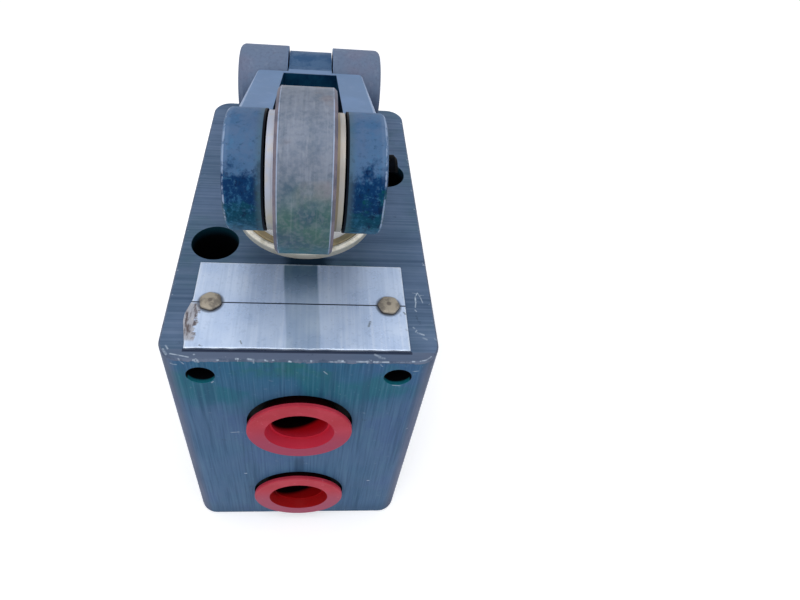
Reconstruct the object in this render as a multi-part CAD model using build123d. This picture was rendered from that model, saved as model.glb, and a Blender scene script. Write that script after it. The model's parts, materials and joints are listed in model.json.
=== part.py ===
from build123d import *
from math import cos, radians, tan
import os

# Roller-lever operated three-way air valve, packed-bore type, in millimetres.
# The block stands on Z = 0 with its ports facing -Y and its roller lever on top.

# Block
block_width = 44.5
block_depth = 73.0
block_height = 62.0
block_corner_radius = 3.8
block_edge_break = 0.3

# Ports in the front face, with the taper of a quarter inch pipe thread
lower_port_height = 12.4
upper_port_drop = 4.8
port_mouth_radius = 6.85
port_depth = 14.0
port_taper = 1 / 32
port_passage_radius = 3.5
counterbore_radius = 9.4
counterbore_depth = 1.5

# Mounting holes
diagonal_hole_side_distance = 5.95
diagonal_hole_y = 11.1
diagonal_hole_radius = 4.25
front_hole_side_distance = 6.5
front_hole_drop = 4.3
front_hole_radius = 2.25
front_hole_depth = 9.0
drill_point_ratio = 0.6

# Vertical bore for the spool, from the bottom up
bore_y = -1.3
bore_radius = 10.0
bottom_thread_radius = 11.0
bottom_thread_depth = 6.0
chamber_radius = 11.0
chamber_gap = 0.32

# Guide nut, the brass ring round the plunger
nut_flange_radius = 13.3
nut_flange_height = 1.5
nut_edge_chamfer = 0.5
nut_thread_radius = 11.8
nut_thread_length = 8.0
nut_groove_radius = 12.2
nut_groove_width = 0.5
nut_groove_depth = 0.3
nut_seal_recess_radius = 13.0
nut_seal_wire = 1.2
vent_groove_radius = 1.0
vent_groove_count = 4

# Plunger and spool
plunger_stroke = 3.6
plunger_radius = 8.5
plunger_cap_radius = 10.7
plunger_cap_thickness = 1.2
plunger_cap_drop = 0.2
plunger_cap_gap = 0.15
plunger_flange_radius = 9.6
plunger_flange_thickness = 1.6
plunger_flange_flat = 8.6
plunger_head_gap = 0.08
spool_land_radius = 6.0
spool_waist_radius = 3.9
spool_pilot_radius = 3.2
spool_pilot_length = 3.5
spool_stud_radius = 3.5
spool_stud_length = 7.5
spool_rise_over_port = 4.5
lower_land_overlap = 1.9
upper_land_lift = 0.8

# Packing stack in the bore
packing_wire = 2.6
packing_inner_gap = 0.05
lower_packing_rise = 13.5
spacer_fit_gap = 0.05
spacer_bore_radius = 7.0
spacer_throat_radius = 6.5
packing_pocket_gap = 0.05
lantern_groove_depth = 1.0
lantern_groove_half_height = 3.0
lantern_hole_radius = 1.8
lantern_hole_count = 6
spacer_seal_wire = 1.7
spacer_seal_inset = 5.7
upper_spacer_floor = 1.2
upper_spacer_wall = 0.9

# Bottom plug
bottom_plug_recess = 0.6
bottom_plug_seal_wire = 1.6
bottom_plug_seal_inset = 0.8
bottom_plug_socket_flats = 8.0
bottom_plug_socket_depth = 2.4
bottom_plug_spring_seat_depth = 1.5
bottom_plug_spring_seat_radius = 6.0

# Return spring
spring_wire_radius = 0.5
spring_coil_radius = 4.6
spring_turns = 4.5

# Hinge bracket at the back of the top face
ear_radius = 8.25
ear_gap = 9.34
ear_width = 10.1
ear_rim_radius = 1.2
bracket_floor = 2.2
pivot_rise = 10.0
pivot_pin_radius = 3.0
pivot_pin_recess = 0.3
pin_end_chamfer = 0.5

# Screws that hold the bracket from below
bracket_screw_radius = 2.0
bracket_screw_length = 30.0
bracket_screw_grip = 6.0
bracket_screw_head_radius = 3.5
bracket_screw_head_height = 4.0
bracket_screw_socket_flats = 3.0
bracket_screw_socket_depth = 2.0
bracket_screw_hole_gap = 0.25
bracket_screw_head_gap = 0.4

# Roller lever, measured along the line from its pivot to its roller
lever_tilt = 13.5
lever_reach = 45.0
knuckle_radius = 7.3
knuckle_side_gap = 0.28
yoke_back_gap = 0.55
yoke_flare = 1.1
yoke_top = 5.6
yoke_underside = 5.3
yoke_corner_radius = 0.9
yoke_edge_break = 0.35
slot_side_gap = 0.27
slot_flare = 0.6
arm_thickness = 5.75
cross_bar_thickness = 1.5
web_thickness = 4.4
boss_radius = 9.3
boss_stand_out = 0.15
boss_rim_radius = 0.9
pivot_bushing_wall = 1.2
running_gap = 0.05

# Roller and what it turns on
roller_radius = 12.7
roller_width = 8.6
roller_edge_chamfer = 0.4
roller_pocket_gap = 0.7
roller_side_gap = 0.08
roller_pin_radius = 3.175
roller_pin_stand_out = 2.2
roller_pin_recess = 0.4
roller_pin_flat_rise = 0.45
roller_pin_flat_turn = 24.0
roller_bushing_wall = 1.5
thrust_washer_radius = 9.1
thrust_washer_thickness = 1.2

# Name plate and its drive screws
plate_side_inset = 4.5
plate_front_inset = 1.7
plate_nut_gap = 2.0
plate_thickness = 0.5
plate_corner_radius = 0.4
plate_screw_inset = 2.75
plate_screw_head_flats = 3.7
plate_screw_head_corners = 4.2
plate_screw_head_height = 0.8
plate_screw_shank_radius = 1.1
plate_screw_shank_length = 3.5

# Push-in port plugs, the lower one pushed in further than the upper one
plug_stand_outs = (1.5, 2.0)
plug_fit_gap = 0.1
plug_length = 11.5
plug_flange_radius = 9.3
plug_flange_thickness = 0.7
plug_lip_chamfer = 0.2
plug_mouth_radius = 6.15
plug_mouth_depth = 1.8
plug_step_radius = 5.5
plug_wall_radius = 5.1
plug_floor_radius = 4.7
plug_recess_depth = 9.5

# Places that follow from the sizes above
front_face_y = -block_depth / 2
diagonal_hole_x = block_width / 2 - diagonal_hole_side_distance
front_hole_x = block_width / 2 - front_hole_side_distance
bore_bottom = bottom_thread_depth
nut_bottom = block_height - nut_thread_length
nut_top = block_height + nut_flange_height
cap_top = nut_top - plunger_cap_drop
cap_bottom = cap_top - plunger_cap_thickness
nut_shoulder = cap_bottom - plunger_stroke - plunger_cap_gap
cap_bore_radius = plunger_cap_radius + plunger_cap_gap
plunger_flange_top = nut_bottom - plunger_head_gap
plunger_bottom = plunger_flange_top - plunger_flange_thickness
chamber_floor_height = plunger_bottom - plunger_stroke - chamber_gap - upper_spacer_floor
port_heights = (lower_port_height, chamber_floor_height - upper_port_drop)
spool_bottom_height = lower_port_height + spool_rise_over_port
lower_packing_height = lower_port_height + lower_packing_rise
packing_inner_radius = spool_land_radius + packing_inner_gap
packing_ring_radius = packing_inner_radius + packing_wire / 2
packing_pocket_radius = packing_ring_radius + packing_wire / 2 + packing_pocket_gap
upper_packing_height = chamber_floor_height - packing_wire / 2
spacer_radius = bore_radius - spacer_fit_gap
spacer_joint_height = lower_packing_height + packing_wire / 2
spacer_seal_heights = (lower_packing_height - spacer_seal_inset, spacer_joint_height + spacer_seal_inset)
pivot_y = block_depth / 2 - ear_radius
pivot_z = block_height + pivot_rise
ear_inner_x = ear_gap / 2
ear_outer_x = ear_inner_x + ear_width
bracket_screw_x = ear_inner_x + ear_width / 2
bracket_screw_top = block_height + bracket_screw_grip
bracket_screw_seat = bracket_screw_top - bracket_screw_length
knuckle_half_width = ear_inner_x - knuckle_side_gap
yoke_back = ear_radius + yoke_back_gap
slot_back = yoke_back + cross_bar_thickness
pivot_bushing_radius = pivot_pin_radius + running_gap + pivot_bushing_wall
roller_bushing_radius = roller_pin_radius + running_gap + roller_bushing_wall
washer_inner_x = roller_width / 2 + roller_side_gap
slot_half_width = washer_inner_x + thrust_washer_thickness + slot_side_gap
yoke_half_width = slot_half_width + arm_thickness
boss_half_width = yoke_half_width + boss_stand_out
flare_end = lever_reach - roller_radius - roller_pocket_gap
plate_width = block_width - 2 * plate_side_inset
plate_screw_x = plate_width / 2 - plate_screw_inset
plate_back_y = bore_y - nut_flange_radius - plate_nut_gap
plate_length = plate_back_y - front_face_y - plate_front_inset
plate_y = plate_back_y - plate_length / 2
lever_place = Pos(0, pivot_y, pivot_z) * Rot(X=-lever_tilt)
roller_place = lever_place * Pos(0, -lever_reach, 0)

# The head is a half ball that just clears the sloping underside of the lever's web
web_height_over_bore = (
    pivot_z
    + (pivot_y - bore_y) * tan(radians(lever_tilt))
    - yoke_underside / cos(radians(lever_tilt))
)
plunger_ball_z = web_height_over_bore - (plunger_radius + plunger_head_gap) / cos(radians(lever_tilt))
spring_low = bottom_thread_depth - bottom_plug_spring_seat_depth


def turned_on_z(profile):
    """Solid of revolution about the bore's upright axis, from (radius, height) points."""
    outline = Polyline(*[(radius, 0, height) for radius, height in profile], close=True)
    return Pos(0, bore_y, 0) * revolve(make_face(outline), Axis.Z)


def turned_on_x(profile):
    """Solid of revolution about the X axis, from (x, radius) points."""
    return revolve(make_face(Polyline(*profile, close=True)), Axis.X)


def upright_rod(radius, low, high, x=0, y=0):
    """Round rod from one height to another."""
    return Pos(x, y, (low + high) / 2) * Cylinder(radius, high - low)


def cross_rod(radius, half_width):
    """Round rod along X, centred on the origin."""
    return Rot(Y=90) * Cylinder(radius, 2 * half_width)


def rubber_ring(ring_radius, wire_radius, height):
    """Seal ring round the bore's axis."""
    return Pos(0, bore_y, height) * Torus(ring_radius, wire_radius)


def hex_prism(flats, low, high, x=0, y=0):
    """Upright hexagon prism, for a key's socket or a screw's head."""
    return Pos(x, y, low) * extrude(RegularPolygon(flats / 2, 6, major_radius=False), high - low)


def blind_front_hole(x, z):
    """Drilled hole into the front face, with its drill point."""
    point_length = front_hole_radius * drill_point_ratio
    hole_end = front_face_y + front_hole_depth
    barrel = Cylinder(front_hole_radius, front_hole_depth)
    barrel = Pos(x, (front_face_y + hole_end) / 2, z) * Rot(X=90) * barrel
    point = Cone(front_hole_radius, 0, point_length)
    point = Pos(x, hole_end + point_length / 2, z) * Rot(X=-90) * point
    return barrel + point


def port_hole(z):
    """Counterbore, tapered thread bore and passage to the upright bore."""
    inner_radius = port_mouth_radius - port_depth * port_taper
    mouth = Cylinder(counterbore_radius, counterbore_depth)
    mouth = Pos(0, front_face_y + counterbore_depth / 2, z) * Rot(X=90) * mouth
    taper = Cone(port_mouth_radius, inner_radius, port_depth)
    taper = Pos(0, front_face_y + port_depth / 2, z) * Rot(X=-90) * taper
    passage_length = bore_y - front_face_y
    passage = Cylinder(port_passage_radius, passage_length)
    passage = Pos(0, front_face_y + passage_length / 2, z) * Rot(X=90) * passage
    return mouth + taper + passage


def valve_body():
    """Painted block with its upright bore, ports and mounting holes."""
    blank = extrude(RectangleRounded(block_width, block_depth, block_corner_radius), block_height)
    rims = blank.faces().sort_by(Axis.Z)[-1].edges() + blank.faces().sort_by(Axis.Z)[0].edges()
    block = chamfer(rims, block_edge_break)
    block -= upright_rod(bore_radius, 0, block_height, y=bore_y)
    block -= upright_rod(bottom_thread_radius, 0, bottom_thread_depth, y=bore_y)
    block -= upright_rod(chamber_radius, chamber_floor_height, block_height, y=bore_y)
    block -= upright_rod(nut_thread_radius, nut_bottom, block_height, y=bore_y)
    block -= upright_rod(nut_seal_recess_radius, block_height - nut_seal_wire, block_height, y=bore_y)
    for z in port_heights:
        block -= port_hole(z)
    for side in (-1, 1):
        block -= upright_rod(
            diagonal_hole_radius, 0, block_height, side * diagonal_hole_x, side * diagonal_hole_y
        )
        block -= blind_front_hole(side * front_hole_x, block_height - front_hole_drop)
        block -= upright_rod(
            plate_screw_shank_radius,
            block_height - plate_screw_shank_length,
            block_height,
            side * plate_screw_x,
            plate_y,
        )
        screw_x = side * bracket_screw_x
        block -= upright_rod(
            bracket_screw_radius + bracket_screw_hole_gap, 0, block_height, screw_x, pivot_y
        )
        block -= upright_rod(
            bracket_screw_head_radius + bracket_screw_head_gap, 0, bracket_screw_seat, screw_x, pivot_y
        )
    return block


def hinge_ear(side):
    """One ear of the bracket, with the rim of its outer face rounded."""
    width_middle = side * (ear_inner_x + ear_outer_x) / 2
    round_top = Pos(width_middle, pivot_y, pivot_z) * cross_rod(ear_radius, ear_width / 2)
    upright = Pos(width_middle, pivot_y, block_height + pivot_rise / 2)
    upright *= Box(ear_width, 2 * ear_radius, pivot_rise)
    ear = round_top + upright
    outer_face = ear.faces().sort_by(Axis.X)[-1 if side > 0 else 0]
    rim = [edge for edge in outer_face.edges() if edge.center().Z > block_height + block_edge_break]
    return fillet(rim, ear_rim_radius)


def hinge_bracket():
    """Forked bracket that carries the lever's pivot pin."""
    floor_middle = Pos(0, pivot_y, block_height + bracket_floor / 2)
    bracket = floor_middle * Box(ear_gap, 2 * ear_radius, bracket_floor)
    for side in (-1, 1):
        bracket += hinge_ear(side)
    bracket -= Pos(0, pivot_y, pivot_z) * cross_rod(pivot_pin_radius, ear_outer_x)
    for side in (-1, 1):
        bracket -= upright_rod(
            bracket_screw_radius, block_height, bracket_screw_top, side * bracket_screw_x, pivot_y
        )
    return bracket


def bracket_screws():
    """Two socket head screws, put in from below the block."""
    screws = Compound(children=[bracket_screw(side * bracket_screw_x) for side in (-1, 1)])
    return screws


def bracket_screw(x):
    """Socket head screw, head down."""
    head_bottom = bracket_screw_seat - bracket_screw_head_height
    screw = upright_rod(bracket_screw_radius, bracket_screw_seat, bracket_screw_top, x, pivot_y)
    screw += upright_rod(bracket_screw_head_radius, head_bottom, bracket_screw_seat, x, pivot_y)
    socket_top = head_bottom + bracket_screw_socket_depth
    return screw - hex_prism(bracket_screw_socket_flats, head_bottom, socket_top, x, pivot_y)


def chamfered_pin(radius, low_x, high_x):
    """Pin along X with both ends chamfered."""
    return turned_on_x(
        [
            (low_x, 0),
            (low_x, radius - pin_end_chamfer),
            (low_x + pin_end_chamfer, radius),
            (high_x - pin_end_chamfer, radius),
            (high_x, radius - pin_end_chamfer),
            (high_x, 0),
        ]
    )


def pivot_pin():
    """Pin pressed through both ears."""
    half_length = ear_outer_x - pivot_pin_recess
    return Pos(0, pivot_y, pivot_z) * chamfered_pin(pivot_pin_radius, -half_length, half_length)


def guide_nut():
    """Brass nut with the plunger's guide bore, a wider bore for its cap and vent grooves."""
    guide_radius = plunger_radius + running_gap
    nut = turned_on_z(
        [
            (guide_radius, nut_bottom),
            (nut_thread_radius, nut_bottom),
            (nut_thread_radius, block_height),
            (nut_flange_radius, block_height),
            (nut_flange_radius, nut_top - nut_edge_chamfer),
            (nut_flange_radius - nut_edge_chamfer, nut_top),
            (nut_groove_radius + nut_groove_width / 2, nut_top),
            (nut_groove_radius, nut_top - nut_groove_depth),
            (nut_groove_radius - nut_groove_width / 2, nut_top),
            (cap_bore_radius, nut_top),
            (cap_bore_radius, nut_shoulder),
            (guide_radius, nut_shoulder),
        ]
    )
    groove = upright_rod(vent_groove_radius, nut_bottom, nut_shoulder, guide_radius)
    for turn in range(vent_groove_count):
        nut -= Pos(0, bore_y, 0) * Rot(Z=turn * 360 / vent_groove_count) * groove
    return nut


def guide_nut_seal():
    """Seal ring under the nut's flange."""
    ring_radius = nut_thread_radius + nut_seal_wire / 2
    return rubber_ring(ring_radius, nut_seal_wire / 2, block_height - nut_seal_wire / 2)


def lantern_cuts(height):
    """Outer groove and radial holes that let air through a spacer at a port's height."""
    groove = Cylinder(bore_radius, 2 * lantern_groove_half_height)
    groove -= Cylinder(spacer_radius - lantern_groove_depth, 2 * lantern_groove_half_height)
    hole = Pos(bore_radius / 2, 0, 0) * cross_rod(lantern_hole_radius, bore_radius / 2)
    for turn in range(lantern_hole_count):
        groove += Rot(Z=(turn + 0.5) * 360 / lantern_hole_count) * hole
    return Pos(0, bore_y, height) * groove


def spacer_seal_groove(height):
    """Outer groove for a seal ring between a spacer and the bore."""
    groove = Cylinder(bore_radius, spacer_seal_wire)
    groove -= Cylinder(bore_radius - spacer_seal_wire, spacer_seal_wire)
    return Pos(0, bore_y, height) * groove


def lower_spacer():
    """Lantern ring at the lower port, with the lower packing's pocket at its top."""
    pocket_floor = lower_packing_height - packing_wire / 2
    spacer = turned_on_z(
        [
            (spacer_bore_radius, bore_bottom),
            (spacer_radius, bore_bottom),
            (spacer_radius, spacer_joint_height),
            (packing_pocket_radius, spacer_joint_height),
            (packing_pocket_radius, pocket_floor),
            (spacer_bore_radius, pocket_floor),
        ]
    )
    return spacer - lantern_cuts(port_heights[0]) - spacer_seal_groove(spacer_seal_heights[0])


def middle_spacer():
    """Lantern ring at the upper port, with the upper packing's pocket at its top."""
    pocket_floor = upper_packing_height - packing_wire / 2
    spacer = turned_on_z(
        [
            (spacer_throat_radius, spacer_joint_height),
            (spacer_radius, spacer_joint_height),
            (spacer_radius, chamber_floor_height),
            (packing_pocket_radius, chamber_floor_height),
            (packing_pocket_radius, pocket_floor),
            (spacer_throat_radius, pocket_floor),
        ]
    )
    return spacer - lantern_cuts(port_heights[1]) - spacer_seal_groove(spacer_seal_heights[1])


def upper_spacer():
    """Cup that the nut clamps down on the upper packing, and the exhaust chamber's wall."""
    outer_radius = chamber_radius - spacer_fit_gap
    floor_top = chamber_floor_height + upper_spacer_floor
    return turned_on_z(
        [
            (spacer_throat_radius, chamber_floor_height),
            (outer_radius, chamber_floor_height),
            (outer_radius, nut_bottom),
            (outer_radius - upper_spacer_wall, nut_bottom),
            (outer_radius - upper_spacer_wall, floor_top),
            (spacer_throat_radius, floor_top),
        ]
    )


def packing(height):
    """Seal ring that the spool slides through."""
    return rubber_ring(packing_ring_radius, packing_wire / 2, height)


def spacer_seals():
    """Seal rings between the spacers and the bore."""
    ring_radius = bore_radius - spacer_seal_wire / 2
    rings = [rubber_ring(ring_radius, spacer_seal_wire / 2, height) for height in spacer_seal_heights]
    return Compound(children=rings)


def bottom_plug():
    """Threaded plug that closes the bore and seats the return spring."""
    seal_top = bottom_thread_depth - bottom_plug_seal_inset
    seal_bottom = seal_top - bottom_plug_seal_wire
    groove_radius = bottom_thread_radius - bottom_plug_seal_wire
    plug = turned_on_z(
        [
            (0, bottom_plug_recess),
            (bottom_thread_radius, bottom_plug_recess),
            (bottom_thread_radius, seal_bottom),
            (groove_radius, seal_bottom),
            (groove_radius, seal_top),
            (bottom_thread_radius, seal_top),
            (bottom_thread_radius, bottom_thread_depth),
            (bottom_plug_spring_seat_radius, bottom_thread_depth),
            (bottom_plug_spring_seat_radius, spring_low),
            (0, spring_low),
        ]
    )
    socket_top = bottom_plug_recess + bottom_plug_socket_depth
    return plug - hex_prism(bottom_plug_socket_flats, bottom_plug_recess, socket_top, y=bore_y)


def bottom_plug_seal():
    """Seal ring in the bottom plug's groove."""
    height = bottom_thread_depth - bottom_plug_seal_inset - bottom_plug_seal_wire / 2
    return rubber_ring(bottom_thread_radius - bottom_plug_seal_wire / 2, bottom_plug_seal_wire / 2, height)


def return_spring():
    """Open coil spring between the bottom plug and the spool."""
    coil_low = spring_low + spring_wire_radius
    coil_height = spool_bottom_height - spring_low - 2 * spring_wire_radius
    path = Helix(pitch=coil_height / spring_turns, height=coil_height, radius=spring_coil_radius)
    wire = sweep(Plane(origin=path @ 0, z_dir=path % 0) * Circle(spring_wire_radius), path, is_frenet=True)
    return Pos(0, bore_y, coil_low) * wire


def plunger():
    """Hardened push rod with a ball head, a cap in the nut and a stop flange under the nut."""
    rod = upright_rod(plunger_radius, plunger_bottom, plunger_ball_z, y=bore_y)
    rod += upright_rod(plunger_cap_radius, cap_bottom, cap_top, y=bore_y)
    rod += Pos(0, bore_y, plunger_ball_z) * Sphere(plunger_radius)
    flange = Cylinder(plunger_flange_radius, plunger_flange_thickness)
    flange &= Box(2 * plunger_flange_flat, 2 * plunger_flange_radius, plunger_flange_thickness)
    rod += Pos(0, bore_y, plunger_bottom + plunger_flange_thickness / 2) * flange
    stud_top = plunger_bottom + spool_stud_length
    return rod - upright_rod(spool_stud_radius, plunger_bottom, stud_top, y=bore_y)


def spool():
    """Spool with two lands and a waist, screwed into the plunger."""
    lower_land_top = lower_packing_height + lower_land_overlap
    upper_land_bottom = chamber_floor_height + upper_land_lift
    return turned_on_z(
        [
            (0, spool_bottom_height - spool_pilot_length),
            (spool_pilot_radius, spool_bottom_height - spool_pilot_length),
            (spool_pilot_radius, spool_bottom_height),
            (spool_land_radius, spool_bottom_height),
            (spool_land_radius, lower_land_top),
            (spool_waist_radius, lower_land_top),
            (spool_waist_radius, upper_land_bottom),
            (spool_land_radius, upper_land_bottom),
            (spool_land_radius, plunger_bottom),
            (spool_stud_radius, plunger_bottom),
            (spool_stud_radius, plunger_bottom + spool_stud_length),
            (0, plunger_bottom + spool_stud_length),
        ]
    )


def lever_block(half_width, start, end, low, high):
    """Block on the lever's own axes, with start and end counted from the pivot to the roller."""
    middle = Pos(0, -(start + end) / 2, (low + high) / 2)
    return middle * Box(2 * half_width, end - start, high - low)


def flared_block(half_width, flare, start, end, low, high):
    """Block like lever_block, narrower at its start and parallel from the end of the flare."""
    right_side = [(half_width - flare, -start), (half_width, -flare_end), (half_width, -end)]
    left_side = [(-x, y) for x, y in reversed(right_side)]
    outline = make_face(Polyline(*right_side, *left_side, close=True))
    return Pos(0, 0, low) * extrude(outline, high - low)


def yoke_blank():
    """Fork of the lever before its slot, with the back corners rounded."""
    blank = flared_block(yoke_half_width, yoke_flare, yoke_back, lever_reach, -yoke_underside, yoke_top)
    corners = blank.edges().filter_by(Axis.Z).group_by(Axis.Y)[-1]
    blank = fillet(corners, yoke_corner_radius)
    rims = blank.faces().sort_by(Axis.Z)[-1].edges() + blank.faces().sort_by(Axis.Z)[0].edges()
    long_rims = [edge for edge in rims if edge.center().Y > -lever_reach + yoke_edge_break]
    return chamfer(long_rims, yoke_edge_break)


def roller_bosses():
    """Round bosses that hold the roller pin, with their outer rims rounded."""
    boss = cross_rod(boss_radius, boss_half_width)
    return Pos(0, -lever_reach, 0) * fillet(boss.edges().filter_by(GeomType.CIRCLE), boss_rim_radius)


def lever():
    """Cast lever: knuckle between the ears, fork, web over the plunger and roller bosses."""
    casting = yoke_blank() + roller_bosses()
    casting += cross_rod(knuckle_radius, knuckle_half_width)
    casting += lever_block(knuckle_half_width, 0, slot_back, -yoke_underside, yoke_top)
    slot_floor = web_thickness - yoke_underside
    slot_end = lever_reach + boss_radius
    slot_top = yoke_top + boss_radius
    casting -= flared_block(slot_half_width, slot_flare, slot_back, slot_end, slot_floor, slot_top)
    pocket = cross_rod(roller_radius + roller_pocket_gap, slot_half_width)
    casting -= Pos(0, -lever_reach, 0) * pocket
    casting -= cross_rod(pivot_bushing_radius, knuckle_half_width)
    casting -= Pos(0, -lever_reach, 0) * cross_rod(roller_pin_radius, boss_half_width)
    return lever_place * casting


def plain_bushing(outer_radius, inner_radius, half_width):
    """Plain bearing sleeve along X."""
    return cross_rod(outer_radius, half_width) - cross_rod(inner_radius, half_width)


def pivot_bushing():
    """Bronze sleeve pressed in the lever's knuckle."""
    sleeve = plain_bushing(pivot_bushing_radius, pivot_pin_radius + running_gap, knuckle_half_width)
    return lever_place * sleeve


def roller_pin():
    """Black pin through both bosses, with a flat milled on the end that stands out."""
    high_x = boss_half_width + roller_pin_stand_out
    pin = chamfered_pin(roller_pin_radius, roller_pin_recess - boss_half_width, high_x)
    cut = Box(roller_pin_stand_out, 2 * roller_pin_radius, roller_pin_radius + roller_pin_flat_rise)
    cut_middle_x = boss_half_width + roller_pin_stand_out / 2
    cut = Pos(cut_middle_x, 0, (roller_pin_flat_rise - roller_pin_radius) / 2) * cut
    return roller_place * (pin - Rot(X=-roller_pin_flat_turn) * cut)


def thrust_washer(side):
    """Washer between the roller and a boss."""
    middle = side * (washer_inner_x + thrust_washer_thickness / 2)
    washer = plain_bushing(thrust_washer_radius, roller_pin_radius, thrust_washer_thickness / 2)
    return roller_place * Pos(middle, 0, 0) * washer


def roller():
    """Steel roller with chamfered edges."""
    half_width = roller_width / 2
    return roller_place * turned_on_x(
        [
            (-half_width, roller_bushing_radius),
            (-half_width, roller_radius - roller_edge_chamfer),
            (roller_edge_chamfer - half_width, roller_radius),
            (half_width - roller_edge_chamfer, roller_radius),
            (half_width, roller_radius - roller_edge_chamfer),
            (half_width, roller_bushing_radius),
        ]
    )


def roller_bushing():
    """Bronze sleeve pressed in the roller."""
    sleeve = plain_bushing(roller_bushing_radius, roller_pin_radius + running_gap, roller_width / 2)
    return roller_place * sleeve


def nameplate():
    """Thin plate in front of the guide nut, with a hole for each drive screw."""
    outline = RectangleRounded(plate_width, plate_length, plate_corner_radius)
    plate = Pos(0, plate_y, block_height) * extrude(outline, plate_thickness)
    for side in (-1, 1):
        plate -= upright_rod(
            plate_screw_shank_radius,
            block_height,
            block_height + plate_thickness,
            side * plate_screw_x,
            plate_y,
        )
    return plate


def nameplate_screws():
    """Two drive screws with low six-sided heads."""
    return Compound(children=[nameplate_screw(side * plate_screw_x) for side in (-1, 1)])


def nameplate_screw(x):
    """Drive screw whose six-sided head is domed like the cap of a ball."""
    plate_top = block_height + plate_thickness
    head_top = plate_top + plate_screw_head_height
    corner_radius = plate_screw_head_corners / 2
    ball_radius = (corner_radius**2 + plate_screw_head_height**2) / (2 * plate_screw_head_height)
    head = Pos(x, plate_y, head_top - ball_radius) * Sphere(ball_radius)
    head &= hex_prism(plate_screw_head_flats, plate_top, head_top, x, plate_y)
    shank_bottom = block_height - plate_screw_shank_length
    return head + upright_rod(plate_screw_shank_radius, shank_bottom, plate_top, x, plate_y)


def port_plug(height, stand_out):
    """Hollow push-in plug, turned about Y and moved up to its port."""
    mouth_y = front_face_y - stand_out
    flange_back_y = mouth_y + plug_flange_thickness
    end_y = mouth_y + plug_length
    floor_y = mouth_y + plug_recess_depth
    neck_radius = port_mouth_radius - plug_fit_gap - (flange_back_y - front_face_y) * port_taper
    end_radius = port_mouth_radius - plug_fit_gap - (end_y - front_face_y) * port_taper
    profile = [
        (0, end_y),
        (end_radius, end_y),
        (neck_radius, flange_back_y),
        (plug_flange_radius, flange_back_y),
        (plug_flange_radius, mouth_y + plug_lip_chamfer),
        (plug_flange_radius - plug_lip_chamfer, mouth_y),
        (plug_mouth_radius, mouth_y),
        (plug_step_radius, mouth_y + plug_mouth_depth),
        (plug_wall_radius, mouth_y + plug_mouth_depth),
        (plug_floor_radius, floor_y),
        (0, floor_y),
    ]
    return Pos(0, 0, height) * revolve(make_face(Polyline(*profile, close=True)), Axis.Y)


parts = {
    "valve_body": valve_body(),
    "hinge_bracket": hinge_bracket(),
    "bracket_screws": bracket_screws(),
    "pivot_pin": pivot_pin(),
    "guide_nut": guide_nut(),
    "guide_nut_seal": guide_nut_seal(),
    "lower_spacer": lower_spacer(),
    "middle_spacer": middle_spacer(),
    "upper_spacer": upper_spacer(),
    "lower_packing": packing(lower_packing_height),
    "upper_packing": packing(upper_packing_height),
    "spacer_seals": spacer_seals(),
    "bottom_plug": bottom_plug(),
    "bottom_plug_seal": bottom_plug_seal(),
    "return_spring": return_spring(),
    "plunger": plunger(),
    "spool": spool(),
    "lever": lever(),
    "pivot_bushing": pivot_bushing(),
    "roller_pin": roller_pin(),
    "thrust_washer_left": thrust_washer(-1),
    "thrust_washer_right": thrust_washer(1),
    "roller": roller(),
    "roller_bushing": roller_bushing(),
    "nameplate": nameplate(),
    "nameplate_screws": nameplate_screws(),
    "lower_port_plug": port_plug(port_heights[0], plug_stand_outs[0]),
    "upper_port_plug": port_plug(port_heights[1], plug_stand_outs[1]),
}

os.makedirs("parts", exist_ok=True)
for name, shape in parts.items():
    export_step(shape, f"parts/{name}.step")
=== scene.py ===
import json
from math import cos, radians, sin

import bmesh
import bpy
from mathutils import Euler, Matrix, Vector, noise


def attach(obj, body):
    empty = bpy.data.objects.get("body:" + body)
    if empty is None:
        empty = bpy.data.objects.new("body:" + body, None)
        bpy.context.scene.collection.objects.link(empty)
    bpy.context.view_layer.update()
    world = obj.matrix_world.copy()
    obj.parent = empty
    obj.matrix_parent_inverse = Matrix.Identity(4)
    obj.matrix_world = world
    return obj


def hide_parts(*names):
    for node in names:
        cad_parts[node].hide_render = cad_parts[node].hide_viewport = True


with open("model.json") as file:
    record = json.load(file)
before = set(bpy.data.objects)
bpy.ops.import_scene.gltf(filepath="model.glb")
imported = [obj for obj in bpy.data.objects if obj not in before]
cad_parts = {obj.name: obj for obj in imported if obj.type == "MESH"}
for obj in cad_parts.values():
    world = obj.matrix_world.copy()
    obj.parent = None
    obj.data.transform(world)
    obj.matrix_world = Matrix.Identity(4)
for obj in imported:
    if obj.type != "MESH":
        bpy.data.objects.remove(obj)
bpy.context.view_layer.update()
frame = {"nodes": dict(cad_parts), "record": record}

# Sizes in metres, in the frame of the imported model
mm = 0.001
block_width = 44.5 * mm
block_depth = 73.0 * mm
block_height = 62.0 * mm
front_y = -block_depth / 2
bore_y = -1.3 * mm
port_heights = (12.4 * mm, 42.4 * mm)
counterbore_radius = 9.4 * mm
diagonal_hole = (16.3 * mm, 11.1 * mm)
diagonal_hole_radius = 4.25 * mm
front_hole = (15.75 * mm, 57.7 * mm)
front_hole_radius = 2.25 * mm
pivot = Vector((0, 28.25, 72.0)) * mm
lever_tilt = radians(13.5)
lever_line = Vector((0, -cos(lever_tilt), sin(lever_tilt)))
lever_up = Vector((0, sin(lever_tilt), cos(lever_tilt)))
lever_reach = 45.0 * mm
plate_top = block_height + 0.5 * mm
plate_low_corner = Vector((-18.1, -34.65, 62.0)) * mm
plate_high_corner = Vector((17.4, -16.5, 62.5)) * mm
divider_y = -25.5 * mm
screw_places = ((-15.15 * mm, -25.5 * mm), (14.5 * mm, -25.6 * mm))

# Camera fitted to the photograph
camera_place = Vector((0.96, -87.03, 138.09)) * mm
camera_turn = Euler((radians(44.03), radians(-4.58), radians(-2.19)), "XYZ")
camera_lens = 25.98
camera_shift = (0.052, -0.0547)


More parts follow.
